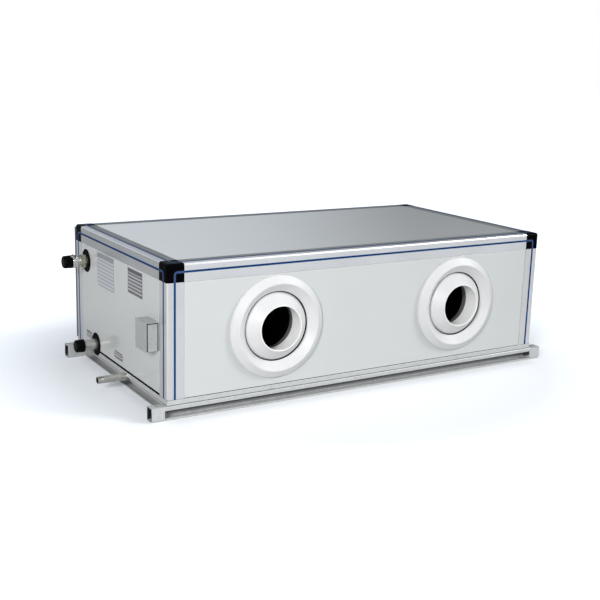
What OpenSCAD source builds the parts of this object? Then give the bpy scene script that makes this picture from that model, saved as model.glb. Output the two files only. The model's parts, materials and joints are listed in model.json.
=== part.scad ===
// Ceiling air handling unit: an aluminium framed casing with flush panels on a channel base,
// two swivelling ball nozzles in front, water, drain and cable connections on the left,
// and a filtered return air opening at the back.
// The origin is the centre of the four hanger holes, on the underside of the base rails.

/* [Casing] */
// Length of the casing along X
casing_l = 1620; // [1300:10:2400]
// Depth of the casing along Y
casing_d = 875; // [700:5:1200]
// Height of the framed casing above its floor
casing_h = 460; // [430:5:800]
// Face width of the frame profile
profile_w = 62; // [45:1:70]
// Radius of the profile's outer edge
profile_round = 8; // [3:1:12]
// Thickness of the panels
panel_t = 25; // [15:1:30]
// Thickness of the floor panel
floor_t = 20; // [15:1:30]

/* [Trim] */
// Width of the blue trim strip
trim_w = 6; // [2:0.5:8]
// Distance from an outer edge of the casing to the middle of the strip
trim_inset = 28; // [22:1:34]
// How far the strip stands off the profile
trim_proud = 0.8; // [0.5:0.1:2]
// Radius of the strip's turns, at its middle
trim_turn = 9; // [6:1:14]

/* [Base] */
// Height of the base channel
rail_h = 50; // [45:1:80]
// Depth of the base channel
rail_d = 40; // [34:1:60]
// Sheet thickness of the base channel
rail_t = 2.5; // [1.5:0.5:4]
// Height of the channel's upper lip
upper_lip = 15; // [8:1:18]
// Height of the channel's lower lip
lower_lip = 8; // [6:1:12]
// How far the front and rear rails reach past the casing at each end
rail_overhang = 55; // [45:1:80]
// How far the side rails stand back from the casing's ends
side_rail_recess = 12; // [5:1:25]
// Diameter of the hanger holes
hanger_hole_d = 13; // [9:0.5:16]
// Width of the end plate over the channel's mouth
end_plate_w = 48; // [36:1:54]
// Thickness of the end plate
end_plate_t = 2; // [1.5:0.5:4]
// Height of the end plate's lower edge above the rail's underside
end_plate_rise = 7.5; // [3:0.5:7.5]

/* [Nozzles] */
// Distance between the two nozzle axes
nozzle_spacing = 796; // [500:2:1000]
// Height of the nozzle axes above the front panel's middle
nozzle_lift = 11; // [0:1:14]
// Outer diameter of the flange ring
ring_d = 364; // [330:2:376]
// Height of the ring's crest above the panel
ring_crest = 28; // [14:1:32]
// Diameter of the ring at its crest
ring_crest_d = 310; // [290:2:320]
// Height of the ring's outer edge
ring_edge = 10; // [3:1:12]
// Radius of the ball
ball_r = 140; // [134:1:146]
// Distance from the panel's face back to the ball's centre
ball_setback = 74; // [66:1:80]
// Wall thickness of the ball
ball_wall = 3; // [2:0.5:5]
// Diameter of the outlet in the ball
outlet_d = 155; // [120:1:170]
// Height of the outlet's rim in front of the ball's centre
outlet_rise = 113; // [100:1:115]
// How far the ball's front face stands in from its round side
ball_band = 25; // [20:1:30]
// Length of the outlet's throat
throat_l = 88; // [40:1:100]
// How much the throat's radius grows towards its inner end
throat_flare = 12; // [0:1:20]
// Running clearance between the ball and its seat
seat_clear = 0.3; // [0.2:0.05:0.5]
// How far the ring's front lip reaches in over the ball's largest radius
lip_hold = 15.5; // [10:0.5:18]
// Height of the ring's front lip above the panel
lip_rise = 2; // [-3:1:6]
// Wall of the ring's sleeve around the ball
sleeve_wall = 5.2; // [4:0.2:8]
// Length of the retaining ring behind the ball's centre
retainer_l = 30; // [20:1:40]
// Clearance of the sleeve in the panel
sleeve_clear = 0.5; // [0.2:0.1:2]
// Largest angle that the balls turn up or down
ball_swing = 30; // [15:1:30]
// Angle from the seat's rear to the ball's rear edge, with the ball turned all the way
ball_margin = 10; // [5:1:14]

/* [Water connections] */
// Outer diameter of the water pipes
pipe_d = 42.4; // [33:0.1:49]
// Wall thickness of the water pipes
pipe_wall = 3.2; // [2:0.1:4]
// Distance of the upper pipe from the casing's back
upper_pipe_back = 119; // [110:1:250]
// Depth of the upper pipe below the casing's top
upper_pipe_drop = 124; // [110:1:160]
// Distance of the lower pipe from the casing's back
lower_pipe_back = 212; // [110:1:350]
// Height of the lower pipe above the floor panel
lower_pipe_z = 26; // [24:1:60]
// How far the upper pipe's cap reaches out from the panel
upper_pipe_reach = 94; // [86:1:140]
// How far the lower pipe's cap reaches out from the panel
lower_pipe_reach = 85; // [76:1:140]
// Wall thickness of the protective caps
cap_wall = 3.6; // [2:0.2:6]
// Length of the protective caps
cap_l = 34; // [26:1:40]
// End wall of the protective caps
cap_end = 5; // [3:1:8]
// Diameter of the rubber discs
disc_d = 89; // [70:1:110]
// Thickness of the rubber discs
disc_t = 2; // [1:0.5:8]
// How far the pipes run inside the panel
pipe_inside = 20; // [5:1:60]
// Width across the flats of the union nut on the upper pipe
union_flats = 48; // [46:1:60]
// Length of the union nut
union_l = 26; // [10:1:28]
// Distance from the rubber disc to the union nut
union_gap = 5; // [1:1:8]
// Diameter of the air vent's ring around the pipe
vent_ring_d = 50; // [47:1:56]
// Length of the air vent's ring
vent_ring_l = 20; // [17:1:22]
// Diameter of the air vent's stem
vent_d = 10; // [6:1:10]
// Length of the air vent from its foot in the ring to the knob's end
vent_reach = 23; // [22:1:28]
// Turn of the air vent from straight up towards the front
vent_turn = 45; // [0:5:60]
// Lean of the air vent out over the cap
vent_lean = 45; // [30:5:45]
// Diameter of the air vent's knob
vent_knob_d = 14; // [12:1:15]
// Length of the air vent's knob
vent_knob_h = 12; // [6:1:12]
// Clearance of pipes in panels, discs and caps
pipe_clear = 0.2; // [0.1:0.05:0.5]

/* [Drain] */
// Outer diameter of the drain nipple
drain_d = 26.9; // [21:0.1:27]
// Wall thickness of the drain nipple
drain_wall = 2.6; // [2:0.1:4]
// Distance of the drain from the casing's front
drain_y = 368; // [250:1:500]
// Depth of the drain's axis below the floor panel's top
drain_drop = 20; // [15:1:22]
// How far the drain reaches out from the casing
drain_reach = 107; // [60:1:140]
// How far the drain runs into the floor panel
drain_inside = 70; // [60:1:100]
// Outer diameter of the drain's threaded end
drain_thread_d = 26.2; // [20:0.1:26.5]
// Length of the drain's threaded end
drain_thread_l = 24; // [15:1:40]

/* [Junction box] */
// Width of the junction box along Y
jbox_w = 90; // [60:1:140]
// Height of the junction box
jbox_h = 100; // [80:1:140]
// Depth of the junction box with its lid
jbox_d = 46; // [30:1:70]
// Thickness of the lid
jbox_lid_t = 2; // [1:0.5:4]
// Distance from the casing's front to the junction box
jbox_y = 67; // [64:1:150]
// Height of the junction box's underside above the floor panel
jbox_z = 154; // [100:1:240]

/* [Return opening] */
// How far the return frame stands out behind the casing
return_d = 20; // [15:1:60]
// Width of the return frame's bars
return_bar = 58; // [50:1:60]
// Distance of the return frame from the casing's ends
return_inset = 2; // [1:1:20]
// Distance of the return frame below the casing's top
return_drop = 13; // [6:1:30]
// Thickness of the filter
filter_t = 22; // [10:1:25]

/* [Hidden] */
$fn = 96;
through = 1;
base_h = rail_h + floor_t;
top_z = base_h + casing_h;
front_y = -casing_d / 2;
left_x = -casing_l / 2;
opening_l = casing_l - 2 * profile_w;
opening_d = casing_d - 2 * profile_w;
opening_h = casing_h - profile_w;
rail_l = casing_l + 2 * rail_overhang;
side_rail_l = casing_d - 2 * rail_d;
hanger_x = casing_l / 2 + rail_overhang / 2;
hanger_y = casing_d / 2 - rail_d / 2;
seat_r = ball_r + seat_clear;
sleeve_r = seat_r + sleeve_wall;
ring_r = ring_d / 2;
crest_r = ring_crest_d / 2;
lip_r = ball_r - lip_hold;
outlet_r = outlet_d / 2;
throat_r = outlet_r + throat_flare;
ball_rear = ball_r * cos(ball_swing + ball_margin);
ball_face_r = ball_r - ball_band;
face_rise = sqrt(pow(ball_r, 2) - pow(ball_face_r, 2));
face_slope = (outlet_rise - face_rise) / (ball_face_r - outlet_r);
nozzle_rise = opening_h / 2 + nozzle_lift;
pipe_r = pipe_d / 2;
upper_pipe_y = casing_d - upper_pipe_back;
upper_pipe_z = casing_h - upper_pipe_drop;
lower_pipe_y = casing_d - lower_pipe_back;
union_start = disc_t + union_gap;
vent_ring_end = upper_pipe_reach - cap_l;
vent_foot = (vent_ring_d / 2 + pipe_r) / 2;

// Base channel section: the mouth faces -X, the underside lies on the X axis
module channel_section() {
    difference() {
        square([rail_d, rail_h]);
        translate([rail_t, rail_t])
            square([rail_d - 2 * rail_t, rail_h - 2 * rail_t]);
        translate([-through, lower_lip])
            square([rail_t + 2 * through, rail_h - lower_lip - upper_lip]);
    }
}

// A long rail along X with its mouth to the front, and a hanger hole near each end
module long_rail() {
    color("darkgray")
    difference() {
        translate([-rail_l / 2, front_y, 0])
            rotate([90, 0, 90])
                linear_extrude(rail_l) channel_section();
        for (side = [-1, 1])
            translate([side * hanger_x, -hanger_y, -through])
                cylinder(d = hanger_hole_d, h = rail_h + 2 * through);
    }
}

module front_rail() {
    long_rail();
}

module rear_rail() {
    mirror([0, 1, 0]) long_rail();
}

// A side rail along Y with its mouth to the left
module side_rail() {
    translate([left_x + side_rail_recess, side_rail_l / 2, 0])
        rotate([90, 0, 0])
            linear_extrude(side_rail_l) channel_section();
}

module left_side_rail() {
    color("darkgray")
    difference() {
        side_rail();
        drain_hole();
    }
}

module right_side_rail() {
    color("darkgray") mirror([1, 0, 0]) side_rail();
}

// Plate over the channel's mouth at the front left rail end
module end_plate() {
    color("lightgray")
        translate([-rail_l / 2, front_y - end_plate_t, end_plate_rise])
            cube([end_plate_w, end_plate_t, rail_h - end_plate_rise]);
}

module front_left_end_plate() {
    end_plate();
}

module front_right_end_plate() {
    mirror([1, 0, 0]) end_plate();
}

module rear_left_end_plate() {
    mirror([0, 1, 0]) end_plate();
}

module rear_right_end_plate() {
    mirror([1, 0, 0]) mirror([0, 1, 0]) end_plate();
}

module floor_panel() {
    color("silver")
    difference() {
        translate([left_x, front_y, rail_h])
            cube([casing_l, casing_d, floor_t]);
        drain_hole();
    }
}

// Square of the profile's face width with one rounded corner at the origin
module rounded_square() {
    difference() {
        square(profile_w);
        difference() {
            square(profile_round);
            translate([profile_round, profile_round]) circle(profile_round);
        }
    }
}

// Frame profile section: two legs as thick as the panels, outer corner at the origin
module profile_section() {
    difference() {
        rounded_square();
        translate([panel_t, panel_t]) square(profile_w);
    }
}

// Front left post
module post() {
    color("gainsboro")
        translate([left_x, front_y, base_h])
            linear_extrude(opening_h) profile_section();
}

module front_left_post() {
    post();
}

module front_right_post() {
    mirror([1, 0, 0]) post();
}

module rear_left_post() {
    mirror([0, 1, 0]) post();
}

module rear_right_post() {
    mirror([1, 0, 0]) mirror([0, 1, 0]) post();
}

module front_top_rail() {
    color("gainsboro")
        translate([left_x + profile_w, front_y, top_z])
            mirror([0, 0, 1])
                rotate([90, 0, 90])
                    linear_extrude(opening_l) profile_section();
}

module rear_top_rail() {
    mirror([0, 1, 0]) front_top_rail();
}

module left_top_rail() {
    color("gainsboro")
        translate([left_x, opening_d / 2, top_z])
            rotate([90, 0, 0])
                linear_extrude(opening_d) mirror([0, 1]) profile_section();
}

module right_top_rail() {
    mirror([1, 0, 0]) left_top_rail();
}

// Front left corner piece, joining two top rails and a post
module corner() {
    color("black")
        translate([left_x, front_y, top_z])
            mirror([0, 0, 1])
                difference() {
                    intersection() {
                        linear_extrude(profile_w) rounded_square();
                        rotate([90, 0, 90]) linear_extrude(profile_w) rounded_square();
                        translate([0, profile_w, 0])
                            rotate([90, 0, 0]) linear_extrude(profile_w) rounded_square();
                    }
                    translate([panel_t, panel_t, panel_t]) cube(profile_w);
                }
}

module front_left_corner() {
    corner();
}

module front_right_corner() {
    mirror([1, 0, 0]) corner();
}

module rear_left_corner() {
    mirror([0, 1, 0]) corner();
}

module rear_right_corner() {
    mirror([1, 0, 0]) mirror([0, 1, 0]) corner();
}

// Places its children on a nozzle's axis, +Z pointing out of the front panel
module at_nozzle(side) {
    translate([side * nozzle_spacing / 2, front_y, base_h + nozzle_rise])
        rotate([90, 0, 0]) children();
}

module front_panel() {
    color("whitesmoke")
    difference() {
        translate([-opening_l / 2, front_y, base_h])
            cube([opening_l, panel_t, opening_h]);
        for (side = [-1, 1])
            at_nozzle(side)
                translate([0, 0, -panel_t - through])
                    cylinder(r = sleeve_r + sleeve_clear, h = panel_t + 2 * through);
    }
}

// Places its children on the casing's left face, +Z pointing out of the panel
module at_left(from_front, above_floor) {
    translate([left_x, front_y + from_front, base_h + above_floor])
        rotate([0, -90, 0]) children();
}

module side_panel() {
    translate([left_x, -opening_d / 2, base_h])
        cube([panel_t, opening_d, opening_h]);
}

module pipe_hole(from_front, above_floor) {
    at_left(from_front, above_floor)
        translate([0, 0, -panel_t - through])
            cylinder(r = pipe_r + pipe_clear, h = panel_t + 2 * through);
}

module left_panel() {
    color("whitesmoke")
    difference() {
        side_panel();
        pipe_hole(upper_pipe_y, upper_pipe_z);
        pipe_hole(lower_pipe_y, lower_pipe_z);
        drain_hole();
    }
}

module right_panel() {
    color("whitesmoke") mirror([1, 0, 0]) side_panel();
}

module top_panel() {
    color("lightgray")
        translate([-opening_l / 2, -opening_d / 2, top_z - panel_t])
            cube([opening_l, opening_d, panel_t]);
}

module return_frame() {
    frame_l = casing_l - 2 * return_inset;
    frame_h = casing_h - return_drop;
    color("dimgray")
        translate([-frame_l / 2, casing_d / 2, base_h])
            difference() {
                cube([frame_l, return_d, frame_h]);
                translate([return_bar, -through, return_bar])
                    cube([frame_l - 2 * return_bar, return_d + 2 * through, frame_h - 2 * return_bar]);
            }
}

module return_filter() {
    color("darkslategray")
        translate([-opening_l / 2, casing_d / 2 - filter_t, base_h])
            cube([opening_l, filter_t, opening_h]);
}

module rounded_rectangle(l, h, r) {
    translate([-l / 2 + r, -h / 2]) square([l - 2 * r, h]);
    translate([-l / 2, -h / 2 + r]) square([l, h - 2 * r]);
    for (x = [-1, 1], y = [-1, 1])
        translate([x * (l / 2 - r), y * (h / 2 - r)]) circle(r);
}

// Closed loop of trim, l by h at its middle
module trim_loop(l, h) {
    difference() {
        rounded_rectangle(l + trim_w, h + trim_w, trim_turn + trim_w / 2);
        rounded_rectangle(l - trim_w, h - trim_w, trim_turn - trim_w / 2);
    }
}

// Strip up one post, along the top rail and down the other post, centred on X
module trim_arch(l) {
    loop_h = 2 * (casing_h - trim_inset);
    intersection() {
        trim_loop(l - 2 * trim_inset, loop_h);
        translate([-l / 2, 0]) square([l, loop_h]);
    }
}

// The back has no strip, because the return frame lies over its profiles
module trim_strips() {
    color("royalblue") {
        translate([0, front_y, base_h])
            rotate([90, 0, 0])
                linear_extrude(trim_proud) trim_arch(casing_l);
        for (side = [0, 1])
            mirror([side, 0, 0])
                translate([left_x, 0, base_h])
                    rotate([90, 0, -90])
                        linear_extrude(trim_proud) trim_arch(casing_d);
        translate([0, 0, top_z])
            linear_extrude(trim_proud)
                trim_loop(casing_l - 2 * trim_inset, casing_d - 2 * trim_inset);
    }
}

// Ring section: a sleeve behind the panel, and a flange that rises to a crest and falls to the lip
module ring_section() {
    difference() {
        polygon([
            [lip_r, -ball_setback],
            [sleeve_r, -ball_setback],
            [sleeve_r, 0],
            [ring_r, 0],
            [ring_r, ring_edge],
            [crest_r, ring_crest],
            [lip_r, lip_rise]
        ]);
        translate([0, -ball_setback]) circle(seat_r);
    }
}

module nozzle_ring(side) {
    color("white") at_nozzle(side) rotate_extrude() ring_section();
}

module left_nozzle_ring() {
    nozzle_ring(-1);
}

module right_nozzle_ring() {
    nozzle_ring(1);
}

module retainer_section() {
    difference() {
        translate([lip_r - retainer_l / 2, -ball_setback - retainer_l])
            square([sleeve_r - lip_r + retainer_l / 2, retainer_l]);
        translate([0, -ball_setback]) circle(seat_r);
    }
}

module nozzle_retainer(side) {
    color("white") at_nozzle(side) rotate_extrude() retainer_section();
}

module left_nozzle_retainer() {
    nozzle_retainer(-1);
}

module right_nozzle_retainer() {
    nozzle_retainer(1);
}

// Half section of the ball's outer body, shrunk by a wall and cut off behind at a given depth
module ball_body(wall, rear) {
    reach = 2 * ball_r;
    intersection() {
        circle(ball_r - wall);
        polygon([
            [0, -rear],
            [reach, -rear],
            [reach, outlet_rise - face_slope * (reach - outlet_r) - wall],
            [0, outlet_rise + face_slope * outlet_r - wall]
        ]);
    }
}

module ball_section() {
    difference() {
        ball_body(0, ball_rear);
        ball_body(ball_wall, ball_r);
        translate([0, -ball_r]) square([outlet_r, 2 * ball_r]);
    }
    polygon([
        [outlet_r, outlet_rise - ball_wall],
        [throat_r, outlet_rise - throat_l],
        [throat_r + ball_wall, outlet_rise - throat_l],
        [outlet_r + ball_wall, outlet_rise - ball_wall]
    ]);
}

module nozzle_ball(side) {
    color("white")
        at_nozzle(side)
            translate([0, 0, -ball_setback]) rotate_extrude() ball_section();
}

module left_nozzle_ball() {
    nozzle_ball(-1);
}

module right_nozzle_ball() {
    nozzle_ball(1);
}

// Water pipe from inside the panel to the cap's end wall
module water_pipe(from_front, above_floor, reach) {
    pipe_end = reach - cap_end;
    start = -panel_t - pipe_inside;
    color("silver")
        at_left(from_front, above_floor)
            difference() {
                translate([0, 0, start])
                    cylinder(r = pipe_r, h = pipe_end - start);
                translate([0, 0, start - through])
                    cylinder(r = pipe_r - pipe_wall, h = pipe_end - start + 2 * through);
            }
}

module upper_water_pipe() {
    water_pipe(upper_pipe_y, upper_pipe_z, upper_pipe_reach);
}

module lower_water_pipe() {
    water_pipe(lower_pipe_y, lower_pipe_z, lower_pipe_reach);
}

module pipe_cap(from_front, above_floor, reach) {
    color("black")
        at_left(from_front, above_floor)
            translate([0, 0, reach - cap_l])
                difference() {
                    cylinder(r = pipe_r + pipe_clear + cap_wall, h = cap_l);
                    translate([0, 0, -through])
                        cylinder(r = pipe_r + pipe_clear, h = cap_l - cap_end + through);
                }
}

module upper_pipe_cap() {
    pipe_cap(upper_pipe_y, upper_pipe_z, upper_pipe_reach);
}

module lower_pipe_cap() {
    pipe_cap(lower_pipe_y, lower_pipe_z, lower_pipe_reach);
}

module pipe_disc(from_front, above_floor) {
    color("black")
        at_left(from_front, above_floor)
            difference() {
                cylinder(d = disc_d, h = disc_t);
                translate([0, 0, -through])
                    cylinder(r = pipe_r + pipe_clear, h = disc_t + 2 * through);
            }
}

module upper_pipe_disc() {
    pipe_disc(upper_pipe_y, upper_pipe_z);
}

module lower_pipe_disc() {
    pipe_disc(lower_pipe_y, lower_pipe_z);
}

module upper_pipe_union() {
    color("darkkhaki")
        at_left(upper_pipe_y, upper_pipe_z)
            translate([0, 0, union_start])
                difference() {
                    cylinder(d = union_flats / cos(30), h = union_l, $fn = 6);
                    translate([0, 0, -through])
                        cylinder(r = pipe_r + pipe_clear, h = union_l + 2 * through);
                }
}

// Bleed valve: a ring on the upper pipe behind the cap, with a leaning stem and a knob on it
module air_vent() {
    color("silver")
        at_left(upper_pipe_y, upper_pipe_z)
            translate([0, 0, vent_ring_end - vent_ring_l])
                difference() {
                    union() {
                        cylinder(d = vent_ring_d, h = vent_ring_l);
                        translate([0, 0, vent_ring_l / 2])
                            rotate([0, 0, -vent_turn])
                                translate([vent_foot, 0, 0])
                                    rotate([0, 90 - vent_lean, 0]) {
                                        cylinder(d = vent_d, h = vent_reach);
                                        translate([0, 0, vent_reach - vent_knob_h])
                                            cylinder(d = vent_knob_d, h = vent_knob_h);
                                    }
                    }
                    translate([0, 0, -vent_reach])
                        cylinder(r = pipe_r + pipe_clear, h = vent_ring_l + 2 * vent_reach);
                }
}

// Places its children on the drain's axis, +Z pointing out of the casing's left end
module at_drain() {
    at_left(drain_y, -drain_drop) children();
}

module drain_hole() {
    at_drain()
        translate([0, 0, -drain_inside])
            cylinder(r = drain_d / 2 + pipe_clear, h = drain_inside + through);
}

module drain_pipe() {
    color("silver")
        at_drain()
            difference() {
                union() {
                    translate([0, 0, -drain_inside])
                        cylinder(d = drain_d, h = drain_inside + drain_reach - drain_thread_l);
                    translate([0, 0, -drain_inside])
                        cylinder(d = drain_thread_d, h = drain_inside + drain_reach);
                }
                translate([0, 0, -drain_inside - through])
                    cylinder(r = drain_d / 2 - drain_wall, h = drain_inside + drain_reach + 2 * through);
            }
}

module junction_box() {
    box_d = jbox_d - jbox_lid_t;
    color("darkgray")
        translate([left_x - box_d, front_y + jbox_y, base_h + jbox_z])
            cube([box_d, jbox_w, jbox_h]);
}

module junction_box_lid() {
    color("gray")
        translate([left_x - jbox_d, front_y + jbox_y, base_h + jbox_z])
            cube([jbox_lid_t, jbox_w, jbox_h]);
}

front_rail();
rear_rail();
left_side_rail();
right_side_rail();
front_left_end_plate();
front_right_end_plate();
rear_left_end_plate();
rear_right_end_plate();
floor_panel();
front_left_post();
front_right_post();
rear_left_post();
rear_right_post();
front_top_rail();
rear_top_rail();
left_top_rail();
right_top_rail();
front_left_corner();
front_right_corner();
rear_left_corner();
rear_right_corner();
front_panel();
left_panel();
right_panel();
top_panel();
return_frame();
return_filter();
trim_strips();
left_nozzle_ring();
right_nozzle_ring();
left_nozzle_retainer();
right_nozzle_retainer();
left_nozzle_ball();
right_nozzle_ball();
upper_water_pipe();
lower_water_pipe();
upper_pipe_cap();
lower_pipe_cap();
upper_pipe_disc();
lower_pipe_disc();
upper_pipe_union();
air_vent();
drain_pipe();
junction_box();
junction_box_lid();
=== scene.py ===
import json
import math

import bmesh
import bpy
from mathutils import Matrix, Vector


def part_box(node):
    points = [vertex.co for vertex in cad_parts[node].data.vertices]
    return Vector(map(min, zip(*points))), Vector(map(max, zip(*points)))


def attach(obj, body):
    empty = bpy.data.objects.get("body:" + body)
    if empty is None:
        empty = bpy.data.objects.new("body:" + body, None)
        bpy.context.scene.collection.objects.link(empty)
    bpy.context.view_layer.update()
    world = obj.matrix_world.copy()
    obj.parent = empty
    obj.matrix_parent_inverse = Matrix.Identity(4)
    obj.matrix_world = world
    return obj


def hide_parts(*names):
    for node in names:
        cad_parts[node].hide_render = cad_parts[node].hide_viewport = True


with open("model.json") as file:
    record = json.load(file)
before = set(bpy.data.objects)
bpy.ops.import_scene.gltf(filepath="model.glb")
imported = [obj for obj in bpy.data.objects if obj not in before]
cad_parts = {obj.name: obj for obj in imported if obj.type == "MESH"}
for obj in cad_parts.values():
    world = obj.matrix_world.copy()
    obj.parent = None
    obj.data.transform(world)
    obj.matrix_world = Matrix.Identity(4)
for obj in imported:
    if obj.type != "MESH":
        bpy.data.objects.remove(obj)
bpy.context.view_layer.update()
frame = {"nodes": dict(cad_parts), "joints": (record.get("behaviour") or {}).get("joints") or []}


# Long base rails: galvanised steel channels under the front and back edges, open outwards.
# They are folded from sheet, and a hanger rod passes through a hole near each end.
# Inside the channel the zinc carries painted shading: lighter at the foot, a painted reflection of the floor,
# and darker towards the top, a painted shade under the upper lip. Where an end plate closes it, the inside is
# painted near black, a painted shade.
rail_sheet = 0.0025
rail_fold = 0.004
upper_lip = 0.015
lower_lip = 0.008
hanger_hole_r = 0.0065
hanger_inset = 0.0275
# Painted shade inside the channel: from the first height to the second the zinc blends towards the dark tone.
painted_channel_shading = (0.001, 0.019, (0.10, 0.105, 0.10))
painted_dark_x = -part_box("front_left_end_plate")[1].x
upward = 0.5


def verts_of(geom):
    """The vertices among the parts that an operator made."""
    return [part for part in geom if isinstance(part, bmesh.types.BMVert)]


def folded_sheet(outline, run, fold, sheet, inside=0):
    """Bent sheet metal: an outer line pushed along run, its folds rounded, then thickened inwards.
    Its inner skin takes the finish with the number inside."""
    bm = bmesh.new()
    line = [bm.verts.new(point) for point in outline]
    edges = [bm.edges.new(pair) for pair in zip(line, line[1:])]
    pushed = bmesh.ops.extrude_edge_only(bm, edges=edges)["geom"]
    bmesh.ops.translate(bm, verts=verts_of(pushed), vec=run)
    folds = [edge for edge in bm.edges if len(edge.link_faces) == 2]
    bmesh.ops.bevel(bm, geom=folds, offset=fold, offset_type="OFFSET", affect="EDGES",
                    segments=5, profile=0.5, material=-1)
    bmesh.ops.recalc_face_normals(bm, faces=bm.faces)
    skin = set(bm.verts)
    bmesh.ops.solidify(bm, geom=bm.faces[:], thickness=sheet)
    for face in bm.faces:
        if skin.isdisjoint(face.verts):
            face.material_index = inside
    return bm


def channel_outline(mouth, low_z, back, high_z):
    """Outer line of a channel, seen along its run; mouth and back are points on its two sides."""
    return [
        Vector((mouth.x, mouth.y, low_z + lower_lip)),
        Vector((mouth.x, mouth.y, low_z)),
        Vector((back.x, back.y, low_z)),
        Vector((back.x, back.y, high_z)),
        Vector((mouth.x, mouth.y, high_z)),
        Vector((mouth.x, mouth.y, high_z - upper_lip)),
    ]


def rod(bm, centre, direction, radius, length, sides=32):
    """Adds a round bar centred on a point to a mesh."""
    turn = Vector((0, 0, 1)).rotation_difference(direction).to_matrix().to_4x4()
    bmesh.ops.create_cone(bm, cap_ends=True, segments=sides, radius1=radius, radius2=radius,
                          depth=length, matrix=Matrix.Translation(centre) @ turn)


def piece_from(name, bm):
    """Puts a finished mesh into the scene, at the origin."""
    mesh = bpy.data.meshes.new(name)
    bm.to_mesh(mesh)
    bm.free()
    piece = bpy.data.objects.new(name, mesh)
    bpy.context.scene.collection.objects.link(piece)
    return piece


def drill(piece, plugs):
    """Cuts a mesh of plugs out of a piece."""
    cutter = piece_from("plugs", plugs)
    cut = piece.modifiers.new("holes", "BOOLEAN")
    cut.object = cutter
    cut.solver = "EXACT"
    drilled = piece.evaluated_get(bpy.context.evaluated_depsgraph_get())
    piece.data = bpy.data.meshes.new_from_object(drilled)
    piece.modifiers.clear()
    bpy.data.objects.remove(cutter)


def node(finish, kind, inputs, **settings):
    """Adds a shader node; an input is a value or the socket that feeds it."""
    made = finish.node_tree.nodes.new("ShaderNode" + kind)
    for key, value in settings.items():
        setattr(made, key, value)
    for key, value in inputs.items():
        if isinstance(value, bpy.types.NodeSocket):
            finish.node_tree.links.new(value, made.inputs[key])
        else:
            made.inputs[key].default_value = value
    return made


def noise(finish, place, scale, detail):
    """A soft random value that changes from place to place."""
    return node(finish, "TexNoise", {"Vector": place, "Scale": scale, "Detail": detail}).outputs["Fac"]


def tones(finish, factor, *stops):
    """Colour ramp from (place, (r, g, b)) stops."""
    ramp = node(finish, "ValToRGB", {"Fac": factor})
    stop_list = ramp.color_ramp.elements
    while len(stop_list) < len(stops):
        stop_list.new(0.5)
    for stop, (place, colour) in zip(stop_list, stops):
        stop.position = place
        stop.color = (*colour, 1)
    return ramp.outputs["Color"]


def blend(finish, share, first, second):
    """Mixes two colours."""
    return node(finish, "Mix", {"Factor": share, "A": first, "B": second},
                data_type="RGBA").outputs["Result"]


def spread(finish, value, low, high):
    """Maps a 0 to 1 value onto another range."""
    return node(finish, "MapRange", {"Value": value, "To Min": low, "To Max": high}).outputs["Result"]


def relief(finish, height, strength, depth, under=None):
    """Bump from a height socket, over another bump if there is one."""
    inputs = {"Height": height, "Strength": strength, "Distance": depth}
    if under:
        inputs["Normal"] = under
    return node(finish, "Bump", inputs).outputs["Normal"]


def new_finish(name, constants):
    """Starts a finish; returns it with its shader and its Object coordinates."""
    finish = bpy.data.materials.new(name)
    finish.use_nodes = True
    shader = finish.node_tree.nodes["Principled BSDF"]
    for key, value in constants.items():
        shader.inputs[key].default_value = value
    place = node(finish, "TexCoord", {}).outputs["Object"]
    return finish, shader, place


def feed(finish, shader, **sockets):
    """Links sockets to the shader; an underscore stands for a space in a socket's name."""
    for key, value in sockets.items():
        finish.node_tree.links.new(value, shader.inputs[key.replace("_", " ")])


def galvanised(name, dull, bright, metallic, painted_fade=None):
    """Hot dip zinc: shallow dents, flat crystals each with its own tone, and fine grain.
    A painted fade is (from height, to height, tone): the colour blends to that tone on the way up, a painted
    shade."""
    finish, shader, place = new_finish(name, {"Metallic": metallic})
    crystal = node(finish, "TexVoronoi", {"Vector": place, "Scale": 120.0, "Randomness": 1.0})
    grain = node(finish, "TexNoise", {"Vector": place, "Scale": 420.0, "Detail": 4.0})
    tone = blend(finish, 0.35, crystal.outputs["Color"], grain.outputs["Color"])
    grey = node(finish, "RGBToBW", {"Color": tone}).outputs["Val"]
    dents = noise(finish, place, scale=26.0, detail=2.0)
    dented = relief(finish, dents, strength=0.6, depth=0.003)
    colour = tones(finish, grey, (0.2, dull), (0.8, bright))
    # Painted shade: the colour darkens towards the given tone with height.
    if painted_fade:
        foot, head, dark = painted_fade
        height = node(finish, "SeparateXYZ", {"Vector": place}).outputs["Z"]
        share = node(finish, "MapRange", {"Value": height, "From Min": foot, "From Max": head})
        colour = blend(finish, share.outputs["Result"], colour, (*dark, 1))
    feed(finish, shader,
         Base_Color=colour,
         Roughness=spread(finish, grey, low=0.28, high=0.5),
         Normal=relief(finish, grey, strength=0.12, depth=0.0004, under=dented))
    return finish


def put_on(piece, finishes, replaced=(), body="casing", crease=40):
    """Shades a piece, gives it its finishes and ties it to the frame."""
    for finish in finishes:
        piece.data.materials.append(finish)
    piece.data.shade_smooth()
    piece.data.set_sharp_from_angle(angle=math.radians(crease))
    even = piece.modifiers.new("even_faces", "WEIGHTED_NORMAL")
    even.keep_sharp = True
    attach(piece, body)
    if replaced:
        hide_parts(*replaced)


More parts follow.
